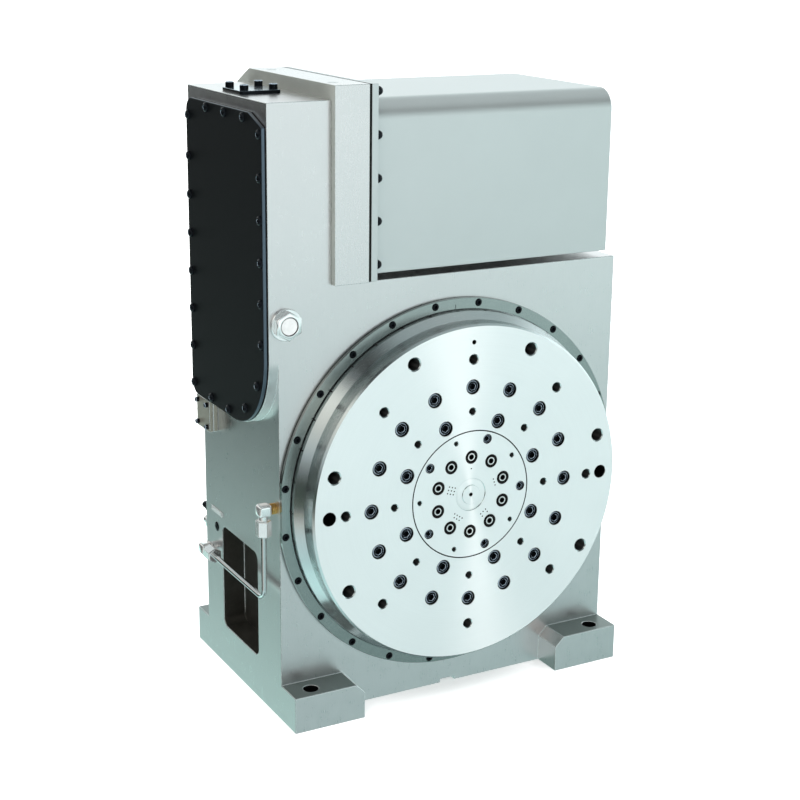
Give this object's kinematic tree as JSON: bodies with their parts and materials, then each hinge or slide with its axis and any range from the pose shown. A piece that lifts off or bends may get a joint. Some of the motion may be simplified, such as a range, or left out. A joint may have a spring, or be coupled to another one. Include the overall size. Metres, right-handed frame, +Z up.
{
  "type": "cnc rotary table",
  "caption": "Upright rotary table: a bolted-down body with a round horizontal-axis faceplate, driven by a hooded servo motor through a gear case, worm and worm wheel, with a hydraulic clamp.",
  "frame": {"origin": "on the base plane, under the table's axis, at mid depth of the body", "axes": "+X to the right seen from the front, +Y to the back along the table's axis, +Z up"},
  "size_m": [0.588, 0.372, 0.899],
  "materials": {
    "cast_body": "fine ground and satin",
    "table_steel": "turned bright",
    "ground_steel": "ground",
    "bearing_steel": "hardened and ground",
    "gear_steel": "oiled",
    "cover_black": "matte black",
    "hood_grey": "satin",
    "plate_steel": "milled",
    "seal_black": "matte",
    "bronze": "machined bronze",
    "brass": "machined",
    "bright_plate": "bright plated",
    "motor_black": "satin black",
    "plastic_dark": "moulded",
    "box_grey": "satin",
    "tag_bare": "bare",
    "clear": "clear"
  },
  "bodies": {
    "frame": {"body_casting": "cast_body", "side_cover": "cover_black", "side_cover_gasket": "seal_black", "top_cover_plate": "plate_steel", "motor_plate": "plate_steel", "motor_cover_gasket": "seal_black", "motor_cover": "hood_grey", "motor_housing": "motor_black", "motor_encoder_cap": "plastic_dark", "motor_oil_seal": "seal_black", "idler_shaft": "gear_steel", "idler_retainer": "gear_steel", "worm_bearings": "bearing_steel", "worm_bearing_retainer": "gear_steel", "worm_end_cap": "ground_steel", "main_bearing_outer": "bearing_steel", "bearing_retainer": "ground_steel", "clamp_ring": "ground_steel", "rotary_distributor": "ground_steel", "front_ring": "ground_steel", "rear_housing": "cast_body", "rear_bearing": "bearing_steel", "rear_cap": "ground_steel", "sight_glass_body": "bright_plate", "sight_glass_window": "clear", "line_nipples": "brass", "line_elbows": "bright_plate", "tube_nuts": "bright_plate", "pressure_tube": "bright_plate", "terminal_box": "box_grey", "terminal_lid": "plastic_dark", "tag_plate": "tag_bare", "rear_fitting": "bright_plate"},
    "table": {"faceplate": "table_steel", "centre_insert": "table_steel", "spindle": "ground_steel", "clamp_disc": "bearing_steel", "worm_wheel": "bronze", "wheel_keys": "gear_steel", "spindle_lock_nut": "gear_steel", "main_bearing_inner": "bearing_steel", "rear_bearing_nut": "gear_steel"},
    "worm": {"worm_shaft": "ground_steel", "worm_gear": "gear_steel", "worm_gear_nut": "gear_steel", "worm_lock_nut": "gear_steel"},
    "idler": {"idler_gear": "gear_steel"},
    "motor": {"motor_rotor": "gear_steel", "motor_gear": "gear_steel"},
    "rollers": {"main_bearing_rollers": "bearing_steel"},
    "clamp": {"clamp_piston": "ground_steel"}
  },
  "joints": [
    {"name": "table_turn", "type": "hinge", "parent": "frame", "child": "table", "pos_m": [0, 0, 0.317], "axis": [0, -1, 0], "continuous": true},
    {"name": "worm_turn", "type": "hinge", "parent": "frame", "child": "worm", "pos_m": [0, -0.03, 0.531], "axis": [1, 0, 0], "continuous": true},
    {"name": "idler_turn", "type": "hinge", "parent": "frame", "child": "idler", "pos_m": [-0.247, -0.03, 0.666], "axis": [1, 0, 0], "continuous": true},
    {"name": "motor_turn", "type": "hinge", "parent": "frame", "child": "motor", "pos_m": [-0.247, -0.03, 0.759], "axis": [1, 0, 0], "continuous": true},
    {"name": "rollers_turn", "type": "hinge", "parent": "frame", "child": "rollers", "pos_m": [0, -0.08, 0.317], "axis": [0, -1, 0], "continuous": true},
    {"name": "clamp_slide", "type": "slide", "parent": "frame", "child": "clamp", "axis": [0, -1, 0], "range_m": [0, 0.0009]}
  ],
  "couplings": [
    {"joint": "worm_turn", "follows": "table_turn", "ratio": 72},
    {"joint": "idler_turn", "follows": "table_turn", "ratio": -90},
    {"joint": "motor_turn", "follows": "table_turn", "ratio": 163.64},
    {"joint": "rollers_turn", "follows": "table_turn", "ratio": 0.5}
  ]
}
